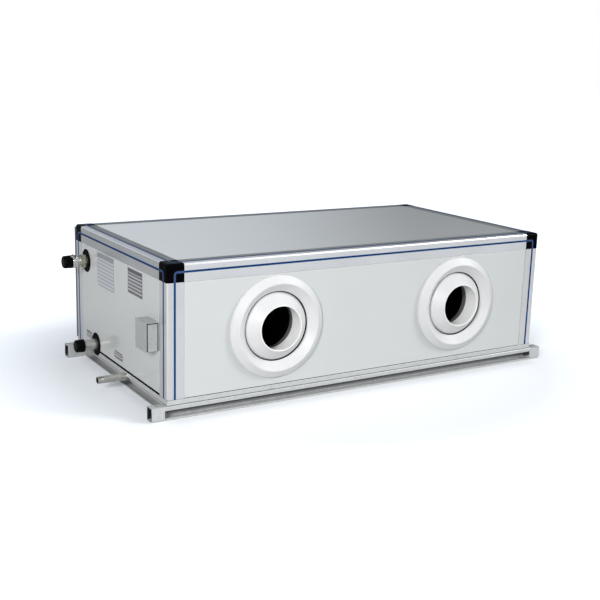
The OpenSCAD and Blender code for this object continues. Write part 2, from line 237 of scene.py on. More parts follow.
rail_zinc = galvanised("rail_zinc", (0.52, 0.53, 0.52), (0.60, 0.61, 0.60), metallic=0.4)
# Inner skin: lighter than the outer zinc at the foot (painted reflection), darker to the top (painted shade);
# the end finish is near black painted shade.
rail_shade = galvanised("rail_shade", (0.55, 0.56, 0.555), (0.68, 0.69, 0.685), metallic=0.2, painted_fade=painted_channel_shading)
rail_hollow = galvanised("rail_hollow", (0.010, 0.011, 0.011), (0.020, 0.021, 0.021), metallic=0.0)
rail_finishes = [rail_zinc, rail_shade, rail_hollow]
painted_shading_index = rail_finishes.index(rail_shade)
painted_dark_index = rail_finishes.index(rail_hollow)
for side, facing in (("front", -1), ("rear", 1)):
    low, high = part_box(side + "_rail")
    mouth = low if facing < 0 else Vector((low.x, high.y, low.z))
    back = Vector((low.x, high.y, low.z)) if facing < 0 else low
    bm = folded_sheet(channel_outline(mouth, low.z, back, high.z), Vector((high.x - low.x, 0, 0)),
                      rail_fold, rail_sheet, inside=painted_shading_index)
    for end in (-1, 1):
        bmesh.ops.bisect_plane(bm, geom=bm.verts[:] + bm.edges[:] + bm.faces[:],
                               plane_co=(end * painted_dark_x, 0, 0), plane_no=(1, 0, 0))
    bm.normal_update()
    # Inner faces past the end plates, except those that look up, get the near black painted shade.
    for face in bm.faces:
        in_painted_dark = abs(face.calc_center_median().x) > painted_dark_x
        if face.material_index and in_painted_dark and face.normal.z < upward:
            face.material_index = painted_dark_index
    rail = piece_from(side + "_channel", bm)
    middle = (low + high) / 2
    holes = bmesh.new()
    for end in (low.x + hanger_inset, high.x - hanger_inset):
        rod(holes, Vector((end, middle.y, middle.z)), Vector((0, 0, 1)), hanger_hole_r, 2 * (high.z - low.z))
    drill(rail, holes)
    put_on(rail, rail_finishes, [side + "_rail"])


# Side rails: the same galvanised channel between the long rails, set back under the casing's ends.
# They are welded to the long rails, and the drain passes through a wide hole in the left one.
drain_low, drain_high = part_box("drain_pipe")
drain_axis = Vector((drain_low.x, (drain_low.y + drain_high.y) / 2, (drain_low.z + drain_high.z) / 2))
drain_r = (drain_high.y - drain_low.y) / 2
rail_hole_clear = 0.006
drill_l = 0.6
for side, facing in (("left", -1), ("right", 1)):
    low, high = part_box(side + "_side_rail")
    mouth = low if facing < 0 else Vector((high.x, low.y, low.z))
    back = Vector((high.x, low.y, low.z)) if facing < 0 else low
    bm = folded_sheet(channel_outline(mouth, low.z, back, high.z), Vector((0, high.y - low.y, 0)),
                      rail_fold, rail_sheet, inside=painted_shading_index)
    rail = piece_from(side + "_side_channel", bm)
    if side == "left":
        holes = bmesh.new()
        rod(holes, drain_axis, Vector((1, 0, 0)), drain_r + rail_hole_clear, drill_l)
        drill(rail, holes)
    # Their inner skin carries the same painted shading as the long rails: lighter at the foot, darker towards
    # the top.
    put_on(rail, [rail_zinc, rail_shade], [side + "_side_rail"])


# End plates: bright zinc sheet over the channel's mouth at each rail end, spot welded to the lips.
# The inner edge is folded back into the mouth.
plate_fold = 0.0035
plate_return = 0.006
plate_zinc = galvanised("plate_zinc", (0.53, 0.54, 0.54), (0.59, 0.60, 0.60), metallic=0.3)
for depth, facing in (("front", -1), ("rear", 1)):
    for side, inward in (("left", 1), ("right", -1)):
        node_name = f"{depth}_{side}_end_plate"
        low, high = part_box(node_name)
        face_y = low.y if facing < 0 else high.y
        outer_x = low.x if inward > 0 else high.x
        inner_x = high.x if inward > 0 else low.x
        outline = [
            Vector((outer_x, face_y, low.z)),
            Vector((inner_x, face_y, low.z)),
            Vector((inner_x, face_y - facing * plate_return, low.z)),
        ]
        bm = folded_sheet(outline, Vector((0, 0, high.z - low.z)), plate_fold, high.y - low.y, inside=1)
        plate = piece_from(f"{depth}_{side}_mouth_plate", bm)
        # The plates' inner skin is painted near black, a painted shade inside the closed rail end.
        put_on(plate, [plate_zinc, rail_hollow], [node_name])


# Floor: an insulated tray of zinc sheet that closes the casing below; its edge shows as a sill.
# Hexagon headed screws hold it to the long rails, and black tape lies in the seams over and under it.
sill_round = 0.0015
seam_h = 0.0014
seam_recess = 0.001
hole_clear = 0.0006
sill_screw_x = (-0.413, 0.427)
screw_washer_r = 0.0065
screw_washer_t = 0.0012
screw_hex_r = 0.0045
screw_hex_t = 0.0035
screw_edge = 0.0004


def soften(bm, width, steps=2, sharper=30):
    """Rounds every edge that turns by more than the given angle."""
    limit = math.radians(sharper)
    edges = [edge for edge in bm.edges if edge.is_manifold and edge.calc_face_angle() > limit]
    bmesh.ops.bevel(bm, geom=edges, offset=width, offset_type="OFFSET", affect="EDGES",
                    segments=steps, profile=0.5, material=-1, clamp_overlap=True)


def pour(part, bm):
    """Adds one mesh to another and frees it."""
    passing = bpy.data.meshes.new("passing")
    part.to_mesh(passing)
    part.free()
    bm.from_mesh(passing)
    bpy.data.meshes.remove(passing)


def block(bm, low, high, edge, steps=2):
    """Adds a board between two corners, with rounded edges."""
    board = bmesh.new()
    bmesh.ops.create_cube(board, size=1)
    bmesh.ops.scale(board, vec=high - low, verts=board.verts)
    bmesh.ops.translate(board, vec=(low + high) / 2, verts=board.verts)
    soften(board, edge, steps)
    pour(board, bm)


def hex_screw(bm, seat, out):
    """Adds a hexagon headed screw with a washer, its seat on a face that looks along out."""
    rod(bm, seat + out * screw_washer_t / 2, out, screw_washer_r, screw_washer_t, sides=20)
    rod(bm, seat + out * (screw_washer_t + screw_hex_t / 2), out, screw_hex_r, screw_hex_t, sides=6)


def moulded(name, dark, light, roughness, grain_scale, grain, coat=0.0, cloud_scale=14.0, shine=0.5):
    """Plastic, paint or rubber: a slow drift of tone, and a fine skin."""
    finish, shader, place = new_finish(name, {"Coat Weight": coat, "Coat Roughness": 0.06,
                                              "Specular IOR Level": shine})
    cloud = noise(finish, place, cloud_scale, detail=4.0)
    skin = noise(finish, place, grain_scale, detail=3.0)
    feed(finish, shader,
         Base_Color=tones(finish, cloud, (0.3, dark), (0.7, light)),
         Roughness=spread(finish, skin, roughness * 0.85, roughness * 1.15),
         Normal=relief(finish, skin, grain, depth=0.0003))
    return finish


sill_zinc = galvanised("sill_zinc", (0.53, 0.54, 0.54), (0.59, 0.60, 0.60), metallic=0.3)
# The seams' own black; the same black also paints shade inside the nozzle balls and in the drain's bore.
seam_black = moulded("seam_black", (0.001, 0.001, 0.001), (0.002, 0.002, 0.002),
                     roughness=0.8, grain_scale=600.0, grain=0.3, shine=0.03)
low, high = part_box("floor_panel")
seam = Vector((0, 0, seam_h))
inset = Vector((seam_recess, seam_recess, 0))
tray_bm = bmesh.new()
block(tray_bm, low + seam, high - seam, sill_round, steps=3)
tape_bm = bmesh.new()
block(tape_bm, low + inset, Vector((high.x, high.y, low.z)) - inset + seam, seam_h / 4)
block(tape_bm, Vector((low.x, low.y, high.z)) + inset - seam, high - inset, seam_h / 4)
for name, bm, finish, replaced in (("floor_tray", tray_bm, sill_zinc, ["floor_panel"]),
                                   ("seam_tape", tape_bm, seam_black, [])):
    layer = piece_from(name, bm)
    holes = bmesh.new()
    rod(holes, drain_axis, Vector((1, 0, 0)), drain_r + hole_clear, drill_l)
    drill(layer, holes)
    put_on(layer, [finish], replaced)
bm = bmesh.new()
screw_z = (low.z + high.z) / 2
for x in sill_screw_x:
    hex_screw(bm, Vector((x, low.y, screw_z)), Vector((0, -1, 0)))
    hex_screw(bm, Vector((x, high.y, screw_z)), Vector((0, 1, 0)))
soften(bm, screw_edge)
put_on(piece_from("sill_screws", bm), [sill_zinc])


# Frame profiles: satin anodised aluminium angles with a rounded outer edge, as thick as the panels.
# Four posts stand on the floor tray and four top rails join them at the corner pieces.
profile_round = 0.008
profile_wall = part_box("left_panel")[1].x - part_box("left_panel")[0].x
casing_low = Vector((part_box("left_panel")[0].x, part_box("front_panel")[0].y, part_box("front_panel")[0].z))
casing_high = Vector((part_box("right_panel")[1].x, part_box("rear_top_rail")[1].y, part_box("top_panel")[1].z))
same_place = 0.001


def drawn_aluminium(name, along, tone):
    """Anodised extrusion with faint die lines along its run."""
    finish, shader, place = new_finish(name, {"Metallic": 0.8})
    squeeze = Vector((1, 1, 1)) - 0.985 * Vector(along)
    line_place = node(finish, "Mapping", {"Vector": place, "Scale": squeeze}).outputs["Vector"]
    lines = noise(finish, line_place, scale=700.0, detail=3.0)
    cloud = noise(finish, place, scale=6.0, detail=3.0)
    dull = (tone, tone, tone)
    bright = (tone + 0.05, tone + 0.05, tone + 0.055)
    feed(finish, shader,
         Base_Color=tones(finish, cloud, (0.3, dull), (0.7, bright)),
         Roughness=spread(finish, lines, low=0.24, high=0.36),
         Normal=relief(finish, lines, strength=0.06, depth=0.0003))
    return finish


# The profiles along y, on the casing's ends, are painted a darker tone than the others, a painted shade for
# their dimmer reflection.
aluminium = {
    "x": drawn_aluminium("aluminium_along_x", (1, 0, 0), 0.80),
    "y": drawn_aluminium("aluminium_along_y", (0, 1, 0), 0.56),
    "z": drawn_aluminium("aluminium_along_z", (0, 0, 1), 0.77),
}


def profile(node_name, axis):
    """An angle with its outer edge on the casing's edge, filling the box of a CAD node."""
    low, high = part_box(node_name)
    outer = Vector([a if abs(a - c) < same_place else b
                    for a, b, c in zip(low, high, casing_low)])
    inner = low + high - outer
    run_axis = "xyz".index(axis)
    legs = [k for k in range(3) if k != run_axis]
    outline = [outer.copy(), outer.copy(), outer.copy()]
    outline[0][legs[0]] = inner[legs[0]]
    outline[2][legs[1]] = inner[legs[1]]
    run = Vector((0, 0, 0))
    run[run_axis] = inner[run_axis] - outer[run_axis]
    bm = folded_sheet(outline, run, profile_round, profile_wall)
    put_on(piece_from(node_name + "_profile", bm), [aluminium[axis]], [node_name])


for depth in ("front", "rear"):
    for side in ("left", "right"):
        profile(f"{depth}_{side}_post", "z")
    profile(f"{depth}_top_rail", "x")
for side in ("left", "right"):
    profile(f"{side}_top_rail", "y")


# Corner pieces: black nylon mouldings with a rounded outer corner, pushed into the profiles' ends.
# They stand a hair proud of the profiles.
corner_round = 0.0085
corner_edge = 0.0006
corner_proud = 0.0004
corner_nylon = moulded("corner_nylon", (0.001, 0.001, 0.0015), (0.0018, 0.0018, 0.0025),
                       roughness=0.35, grain_scale=1500.0, grain=0.05, shine=0.012)
for depth, y_out in (("front", -1), ("rear", 1)):
    for side, x_out in (("left", -1), ("right", 1)):
        node_name = f"{depth}_{side}_corner"
        low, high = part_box(node_name)
        proud = Vector((corner_proud,) * 3)
        outwards = Vector((x_out, y_out, 1))
        bm = bmesh.new()
        bmesh.ops.create_cube(bm, size=1)
        bmesh.ops.scale(bm, vec=high - low + 2 * proud, verts=bm.verts)
        bmesh.ops.translate(bm, vec=(low + high) / 2, verts=bm.verts)
        tip = max(bm.verts, key=lambda vert: vert.co.dot(outwards))
        bmesh.ops.bevel(bm, geom=list(tip.link_edges), offset=corner_round, offset_type="OFFSET",
                        affect="EDGES", segments=6, profile=0.5, material=-1)
        soften(bm, corner_edge, sharper=60)
        put_on(piece_from(node_name + "_moulding", bm), [corner_nylon], [node_name])


# Panels: insulated boards with pale grey coated sheet outside, set flush between the profiles.
# A thin joint runs round each. The front one has a round hole for each nozzle, the left one for each
# water pipe, and both end panels stop short of the sill for a gasket.
panel_joint = 0.0006
panel_edge = 0.0012
nozzle_hole_r = 0.134
gasket_h = 0.0065
panel_paint = moulded("panel_paint", (0.555, 0.572, 0.56), (0.572, 0.589, 0.577),
                      roughness=0.22, grain_scale=900.0, grain=0.02, coat=0.7, cloud_scale=3.0)
ring_low, ring_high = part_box("left_nozzle_ring")
nozzle_z = (ring_low.z + ring_high.z) / 2
nozzle_x = {}
for side in ("left", "right"):
    low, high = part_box(side + "_nozzle_ring")
    nozzle_x[side] = (low.x + high.x) / 2
water_axes = {}
for level in ("upper", "lower"):
    low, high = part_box(level + "_pipe_disc")
    water_axes[level] = Vector((high.x, (low.y + high.y) / 2, (low.z + high.z) / 2))
pipe_r = (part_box("lower_water_pipe")[1].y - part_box("lower_water_pipe")[0].y) / 2

for side in ("front", "left", "right", "top"):
    low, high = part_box(side + "_panel")
    thick = min(range(3), key=lambda k: (high - low)[k])
    joint = Vector((panel_joint,) * 3)
    joint[thick] = 0
    low = low + joint
    high = high - joint
    if side in ("left", "right"):
        low.z += gasket_h
    bm = bmesh.new()
    block(bm, low, high, panel_edge, steps=3)
    panel = piece_from(side + "_board", bm)
    holes = bmesh.new()
    if side == "front":
        for x in nozzle_x.values():
            rod(holes, Vector((x, low.y, nozzle_z)), Vector((0, 1, 0)), nozzle_hole_r, drill_l, sides=96)
    if side == "left":
        for axis in water_axes.values():
            rod(holes, axis, Vector((1, 0, 0)), pipe_r + hole_clear, drill_l, sides=48)
    if holes.verts:
        drill(panel, holes)
    put_on(panel, [panel_paint], [side + "_panel"])


# Gaskets: black foam strips in the joint between each end panel and the sill.
# They are pressed in a little behind the panel's face.
gasket_depth = 0.0015
gasket_edge = 0.0005
for side, inward in (("left", 1), ("right", -1)):
    low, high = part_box(side + "_panel")
    set_back = Vector((inward * gasket_depth, 0, 0))
    top_corner = Vector((high.x, high.y, low.z + gasket_h + panel_edge))
    bm = bmesh.new()
    block(bm, low + set_back, top_corner + set_back, gasket_edge)
    put_on(piece_from(side + "_gasket", bm), [seam_black])


# Trim: a thin strip of blue plastic pressed into a groove in the profiles, one loop on the top
# and an arch on the front and each end. It runs on as a duller moulded line over the corner pieces.
trim_w = 0.007
trim_inset = 0.028
trim_turn = 0.009
trim_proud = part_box("trim_strips")[1].z - casing_high.z
profile_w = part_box("front_left_corner")[1].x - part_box("front_left_corner")[0].x
casing_l = casing_high.x - casing_low.x
casing_d = casing_high.y - casing_low.y
casing_h = casing_high.z - casing_low.z
trim_blue = moulded("trim_blue", (0.002, 0.036, 0.125), (0.003, 0.044, 0.15),
                    roughness=0.4, grain_scale=1200.0, grain=0.05, shine=0.05)
corner_line = moulded("corner_line", (0.036, 0.062, 0.15), (0.046, 0.076, 0.18),
                      roughness=0.4, grain_scale=1200.0, grain=0.05, shine=0.05)


def strip_loop(long, high, wide):
    """A flat closed strip round the origin, long by high at its middle line."""
    bm = bmesh.new()
    bmesh.ops.create_grid(bm, x_segments=1, y_segments=1, size=0.5)
    bmesh.ops.scale(bm, vec=(long + wide, high + wide, 1), verts=bm.verts)
    bmesh.ops.bevel(bm, geom=bm.verts[:], offset=trim_turn + wide / 2, offset_type="OFFSET",
                    affect="VERTICES", segments=7, profile=0.5, material=-1)
    sheet = bm.faces[:]
    bmesh.ops.inset_region(bm, faces=sheet, thickness=wide, use_boundary=True, use_even_offset=True)
    bmesh.ops.delete(bm, geom=sheet, context="FACES")
    return bm


def cut_strip(bm, point, normal, drop=False):
    """Splits a strip at a plane, and drops the part behind it if asked."""
    bmesh.ops.bisect_plane(bm, geom=bm.verts[:] + bm.edges[:] + bm.faces[:], plane_co=point,
                           plane_no=normal, clear_inner=drop)


def raise_sheet(bm, height):
    """Gives a flat sheet its thickness, upwards."""
    raised = bmesh.ops.extrude_face_region(bm, geom=bm.faces[:])["geom"]
    bmesh.ops.translate(bm, vec=(0, 0, height), verts=verts_of(raised))


def lay_strip(strip, bm, matrix, corner, proud):
    """Thickens a strip, marks what lies beyond a corner piece's (along, up) edges, and adds it in place."""
    raise_sheet(strip, proud)
    bmesh.ops.recalc_face_normals(strip, faces=strip.faces)
    for face in strip.faces:
        middle = face.calc_center_median()
        face.material_index = int(all(abs(middle[k]) > limit for k, limit in enumerate(corner)))
    bmesh.ops.transform(strip, matrix=matrix, verts=strip.verts)
    pour(strip, bm)


on_top = Matrix.Translation((0, 0, casing_high.z))
on_floor = Matrix.Translation((0, 0, casing_low.z))
upright = Matrix.Rotation(math.pi / 2, 4, "X")
all_strips = bmesh.new()
strip = strip_loop(casing_l - 2 * trim_inset, casing_d - 2 * trim_inset, trim_w)
top_corner = (casing_l / 2 - profile_w, casing_d / 2 - profile_w)
for side in (-1, 1):
    cut_strip(strip, (side * top_corner[0], 0, 0), (1, 0, 0))
    cut_strip(strip, (0, side * top_corner[1], 0), (0, 1, 0))
lay_strip(strip, all_strips, on_top, top_corner, trim_proud)
for span, depth, turn in ((casing_l, casing_d, 0), (casing_d, casing_l, 90), (casing_d, casing_l, -90)):
    strip = strip_loop(span - 2 * trim_inset, 2 * (casing_h - trim_inset), trim_w)
    face_corner = (span / 2 - profile_w, casing_h - profile_w)
    cut_strip(strip, (0, 0, 0), (0, 1, 0), drop=True)
    cut_strip(strip, (0, face_corner[1], 0), (0, 1, 0))
    for side in (-1, 1):
        cut_strip(strip, (side * face_corner[0], 0, 0), (1, 0, 0))
    on_face = on_floor @ Matrix.Rotation(math.radians(turn), 4, "Z") @ Matrix.Translation((0, -depth / 2, 0))
    lay_strip(strip, all_strips, on_face @ upright, face_corner, trim_proud)
put_on(piece_from("trim_lines", all_strips), [trim_blue, corner_line], ["trim_strips"])


# Top seal: a grey foam band glued to the top rails, between the trim and the panel.
# It closes the joint round the panel and shows as a dull edge along it.
seal_proud = 0.0004
seal_start = trim_inset + trim_w / 2
seal_w = profile_w - seal_start
seal_inset = seal_start + seal_w / 2
seal_grey = moulded("seal_grey", (0.19, 0.20, 0.20), (0.23, 0.24, 0.24),
                    roughness=0.7, grain_scale=600.0, grain=0.1, shine=0.1)
bm = bmesh.new()
strip = strip_loop(casing_l - 2 * seal_inset, casing_d - 2 * seal_inset, seal_w)
lay_strip(strip, bm, on_top, (casing_l, casing_d), seal_proud)
put_on(piece_from("top_seal", bm), [seal_grey])


# Nozzle rings: white moulded flanges screwed to the front panel from behind. A cone rises to a crest,
# and another falls inwards to the lip round the ball.
ring_edge = 0.010
crest_r = 0.155
lip_r = 0.1245
lip_rise = 0.002
bore_depth = 0.0092
seat_depth = 0.074
seat_r = 0.1403
sleeve_r = 0.1455
edge_round = 0.0025
crest_round = 0.004
lip_round = 0.002
panel_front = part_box("front_panel")[0].y
ring_r = (ring_high.x - ring_low.x) / 2
ring_crest = panel_front - ring_low.y
front_out = Vector((0, -1, 0))


def turned(line, centre, out, rounds=(), steps=96, closed=True):
    """A lathe: a line of (radius, reach) points swept once round the axis out of centre.
    Rounds are (point's index, radius) pairs, and a closed line is joined end to end."""
    bm = bmesh.new()
    across = out.orthogonal().normalized()
    points = [bm.verts.new(centre + across * radius + out * reach) for radius, reach in line]
    following = points[1:] + points[:1] if closed else points[1:]
    for pair in zip(points, following):
        bm.edges.new(pair)
    for index, radius in rounds:
        bmesh.ops.bevel(bm, geom=[points[index]], offset=radius, offset_type="OFFSET",
                        affect="VERTICES", segments=5, profile=0.5, material=-1)
    bmesh.ops.spin(bm, geom=bm.verts[:] + bm.edges[:], cent=centre, axis=out, angle=math.tau,
                   steps=steps, use_merge=True)
    bmesh.ops.remove_doubles(bm, verts=bm.verts, dist=0.00001)
    bmesh.ops.recalc_face_normals(bm, faces=bm.faces)
    return bm


nozzle_white = moulded("nozzle_white", (0.64, 0.64, 0.635), (0.67, 0.67, 0.665),
                       roughness=0.45, grain_scale=700.0, grain=0.015)
ring_line = [
    (ring_r, 0),
    (ring_r, ring_edge),
    (crest_r, ring_crest),
    (lip_r, lip_rise),
    (lip_r, -bore_depth),
    (seat_r, -seat_depth),
    (sleeve_r, -seat_depth),
    (sleeve_r, 0),
]
ring_rounds = ((1, edge_round), (2, crest_round), (3, lip_round))
for side, x in nozzle_x.items():
    bm = turned(ring_line, Vector((x, panel_front, nozzle_z)), front_out, ring_rounds, steps=128)
    put_on(piece_from(side + "_flange_ring", bm), [nozzle_white], [side + "_nozzle_ring"])


# Nozzle retainers: plain white rings screwed on behind the flanges, which hold the balls in their seats.
# They are hidden, so they keep the plain mesh of the frame and take the rings' finish.
for side in nozzle_x:
    retainer = frame["nodes"][side + "_nozzle_retainer"]
    retainer.data.materials.clear()
    retainer.data.materials.append(nozzle_white)


# Nozzle seals: black felt rings glued inside the lips, just clear of the balls.
# They close the gap in which a ball turns, and show as a thin dark line; their black also stands in for the
# shade deep in the gap.
felt_inner_r = 0.1222
felt_front = 0.0004
felt_inner_depth = 0.004
felt_line = [
    (felt_inner_r, -felt_front),
    (lip_r, -felt_front),
    (lip_r, -bore_depth),
    (felt_inner_r, -felt_inner_depth),
]
for side, x in nozzle_x.items():
    bm = turned(felt_line, Vector((x, panel_front, nozzle_z)), front_out)
    put_on(piece_from(side + "_lip_seal", bm), [seam_black])


# Nozzle balls: thin white shells that swivel in their rings. A coned face leads to a rolled rim, and a throat
# widens back from it into a collar. The throat is painted a brighter white, a painted light; the collar is
# painted dark grey and the shell's inside black, both painted shade.
ball_wall = 0.003
ball_face_r = 0.115
face_round = 0.004
outlet_r = 0.0775
outlet_rise = 0.113
rim_round = 0.003
throat_l = 0.078
throat_flare = 0.14
collar_l = 0.026
rear_angle = 50
bow_steps = 24
throat_white = moulded("throat_white", (0.88, 0.88, 0.87), (0.91, 0.91, 0.90),
                       roughness=0.5, grain_scale=700.0, grain=0.015)
collar_grey = moulded("collar_grey", (0.11, 0.105, 0.105), (0.14, 0.135, 0.135),
                      roughness=0.5, grain_scale=700.0, grain=0.05, shine=0.2)
ball_finishes = [nozzle_white, seam_black, collar_grey, seam_black, throat_white, seam_black]
collar_shade_index = ball_finishes.index(collar_grey)
throat_light_index = ball_finishes.index(throat_white)
throat_r = outlet_r + ball_wall / 2
for joint in frame["joints"]:
    body = joint["child"]
    ball_node = body.replace("_ball", "_nozzle_ball")
    low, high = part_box(ball_node)
    centre = Vector(joint["pos_m"])
    mid_r = (high.x - low.x - ball_wall) / 2
    face_angle = math.degrees(math.acos(ball_face_r / mid_r))
    sweep = rear_angle + face_angle
    bow = [math.radians(face_angle - sweep * k / bow_steps) for k in range(bow_steps + 1)]
    shell = [
        (throat_r + throat_flare * (throat_l + collar_l), outlet_rise - throat_l - collar_l),
        (throat_r + throat_flare * throat_l, outlet_rise - throat_l),
        (throat_r, outlet_rise - ball_wall / 2),
    ]
    shell += [(mid_r * math.cos(angle), mid_r * math.sin(angle)) for angle in bow]
    bm = turned(shell, centre, front_out, ((2, rim_round), (3, face_round)), steps=128, closed=False)
    # Throat faces get the painted light, collar faces the dark grey painted shade; the wall's inner faces take
    # the black painted shade.
    for face in bm.faces:
        spot = face.calc_center_median() - centre
        reach = spot.dot(front_out)
        depth = outlet_rise - reach
        inner_r = throat_r + throat_flare * depth + ball_wall / 2
        if rim_round < depth < outlet_rise and (spot - front_out * reach).length < inner_r:
            face.material_index = collar_shade_index if depth > throat_l else throat_light_index
    ball = piece_from(body.replace("_ball", "_jet_ball"), bm)
    wall = ball.modifiers.new("wall", "SOLIDIFY")
    wall.thickness = ball_wall
    wall.offset = 0
    wall.material_offset = 1
    put_on(ball, ball_finishes, [ball_node], body)


# Water pipes: zinc plated steel stubs of the coil, which come out through the left panel.
# Each is a length of pipe, cut square.
pipe_wall = 0.0032
left_out = Vector((-1, 0, 0))


def plated(name, dull, bright, roughness):
    """Plated or plain metal with soft stains and fine turning marks."""
    finish, shader, place = new_finish(name, {"Metallic": 0.9})
    stain = noise(finish, place, scale=45.0, detail=5.0)
    marks_place = node(finish, "Mapping", {"Vector": place, "Scale": (1, 0.05, 0.05)}).outputs["Vector"]
    marks = noise(finish, marks_place, scale=900.0, detail=2.0)
    feed(finish, shader,
         Base_Color=tones(finish, stain, (0.3, dull), (0.7, bright)),
         Roughness=spread(finish, marks, roughness * 0.8, roughness * 1.25),
         Normal=relief(finish, marks, strength=0.08, depth=0.0003))
    return finish


pipe_steel = plated("pipe_steel", (0.52, 0.52, 0.49), (0.72, 0.72, 0.68), roughness=0.3)
pipe_bore = pipe_r - pipe_wall
for level, axis in water_axes.items():
    low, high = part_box(level + "_water_pipe")
    start = axis.x - high.x
    end = axis.x - low.x
    pipe_line = [(pipe_r, start), (pipe_r, end), (pipe_bore, end), (pipe_bore, start)]
    bm = turned(pipe_line, axis, left_out, steps=48)
    put_on(piece_from(level + "_stub", bm), [pipe_steel], [level + "_water_pipe"])


# Rubber discs: black sealing collars pushed over the pipes and against the panel.
# They cover the gap round each pipe, and their outer edges are slightly rounded.
disc_round = 0.0008
disc_rubber = moulded("disc_rubber", (0.001, 0.001, 0.001), (0.002, 0.002, 0.002),
                      roughness=0.6, grain_scale=900.0, grain=0.2, shine=0.04)
for level, axis in water_axes.items():
    low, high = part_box(level + "_pipe_disc")
    disc_r = (high.y - low.y) / 2
    disc_t = high.x - low.x
    disc_line = [(pipe_r, 0), (disc_r, 0), (disc_r, disc_t), (pipe_r, disc_t)]
    bm = turned(disc_line, axis, left_out, ((1, disc_round), (2, disc_round)), steps=64)
    put_on(piece_from(level + "_collar", bm), [disc_rubber], [level + "_pipe_disc"])


# Union: a hexagon nut of nickelled brass screwed on the upper pipe, with a round collar outside it.
# A narrow groove parts the two.
union_chamfer = 0.0012
union_groove = 0.0008
union_gap = 0.0002
union_collar_r = 0.0236
nut_share = 0.6
union_brass = plated("union_brass", (0.34, 0.34, 0.27), (0.60, 0.60, 0.50), roughness=0.26)
low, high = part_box("upper_pipe_union")
nut_r = min(high.y - low.y, high.z - low.z) / 2 / math.cos(math.pi / 6)
nut_l = nut_share * (high.x - low.x)
union_collar_l = high.x - low.x - nut_l - union_groove
upper = water_axes["upper"]
bm = bmesh.new()
rod(bm, Vector((high.x - nut_l / 2, upper.y, upper.z)), left_out, nut_r, nut_l, sides=6)
rod(bm, Vector((low.x + union_collar_l / 2, upper.y, upper.z)), left_out, union_collar_r, union_collar_l,
    sides=48)
soften(bm, union_chamfer)
union = piece_from("union_nut", bm)
holes = bmesh.new()
rod(holes, upper, left_out, pipe_r + union_gap, drill_l, sides=48)
drill(union, holes)
put_on(union, [union_brass], ["upper_pipe_union"])


# Air vent: a bright plated ring on the upper pipe, behind the cap.
# A stem screwed into the ring leans out over the cap, with a bleed knob and its pin on the end.
vent_ring_r = 0.025
vent_ring_l = 0.020
vent_ring_round = 0.002
vent_stem_r = 0.005
vent_knob_r = 0.007
vent_knob_h = 0.012
vent_pin_r = 0.003
vent_pin_h = 0.002
vent_reach = 0.023
vent_turn = 45
vent_lean = 45
vent_edge = 0.0008
vent_bright = plated("vent_bright", (0.62, 0.62, 0.60), (0.80, 0.80, 0.78), roughness=0.2)
far = upper.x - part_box("upper_pipe_cap")[1].x
near = far - vent_ring_l
vent_line = [(pipe_r, near), (vent_ring_r, near), (vent_ring_r, far), (pipe_r, far)]
bm = turned(vent_line, upper, left_out, ((1, vent_ring_round), (2, vent_ring_round)), steps=64)
radial = Matrix.Rotation(math.radians(vent_turn), 3, "X") @ Vector((0, 0, 1))
lean = radial * math.cos(math.radians(vent_lean)) + left_out * math.sin(math.radians(vent_lean))
stem_foot = upper + left_out * (near + far) / 2 + radial * (vent_ring_r + pipe_r) / 2
for radius, start, end in (
    (vent_stem_r, 0, vent_reach),
    (vent_knob_r, vent_reach - vent_knob_h, vent_reach),
    (vent_pin_r, vent_reach, vent_reach + vent_pin_h),
):
    rod(bm, stem_foot + lean * (start + end) / 2, lean, radius, end - start, sides=24)
soften(bm, vent_edge, sharper=60)
put_on(piece_from("bleed_vent", bm), [vent_bright], ["air_vent"])


# Caps: black polyethylene plugs pushed over the pipe ends, slightly tapered, with rounded ends.
# They keep dirt out until the pipes are joined.
cap_taper = 0.0012
cap_mouth_round = 0.002
cap_end_round = 0.006
cap_end_wall = 0.005
cap_black = moulded("cap_black", (0.001, 0.001, 0.0012), (0.002, 0.002, 0.0023),
                    roughness=0.4, grain_scale=800.0, grain=0.12, shine=0.06)
for level, axis in water_axes.items():
    low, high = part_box(level + "_pipe_cap")
    cap_r = (high.y - low.y) / 2
    start = axis.x - high.x
    end = axis.x - low.x
    cap_line = [
        (pipe_r, start),
        (cap_r, start),
        (cap_r - cap_taper, end),
        (0, end),
        (0, end - cap_end_wall),
        (pipe_r, end - cap_end_wall),
    ]
    bm = turned(cap_line, axis, left_out, ((1, cap_mouth_round), (2, cap_end_round)), steps=64)
    put_on(piece_from(level + "_cap", bm), [cap_black], [level + "_pipe_cap"])


# Drain: an open nipple of plated steel that comes out of the floor tray through the left side rail.
# A thread is cut on its end for a hose or a socket, and its bore is painted black, a painted shade.
drain_wall = 0.0026
thread_l = 0.024
thread_pitch = 0.0018
thread_depth = 0.0009
drain_bore = drain_r - drain_wall
drain_foot = Vector((drain_high.x, drain_axis.y, drain_axis.z))
drain_l = drain_high.x - drain_low.x
thread_start = drain_l - thread_l
drain_line = [(drain_bore, 0), (drain_r, 0), (drain_r, thread_start)]
for turn in range(int(thread_l / thread_pitch)):
    foot = thread_start + turn * thread_pitch
    drain_line.append((drain_r - thread_depth, foot + 0.25 * thread_pitch))
    drain_line.append((drain_r, foot + 0.75 * thread_pitch))
drain_line += [(drain_r - 2 * thread_depth, drain_l), (drain_bore, drain_l)]
bm = turned(drain_line, drain_foot, left_out, steps=48)
# Faces inside the bore are painted black, a painted shade.
for face in bm.faces:
    spot = face.calc_center_median() - drain_foot
    face.material_index = int((spot - left_out * spot.dot(left_out)).length < drain_bore)
put_on(piece_from("drain_nipple", bm), [pipe_steel, seam_black], ["drain_pipe"], crease=25)


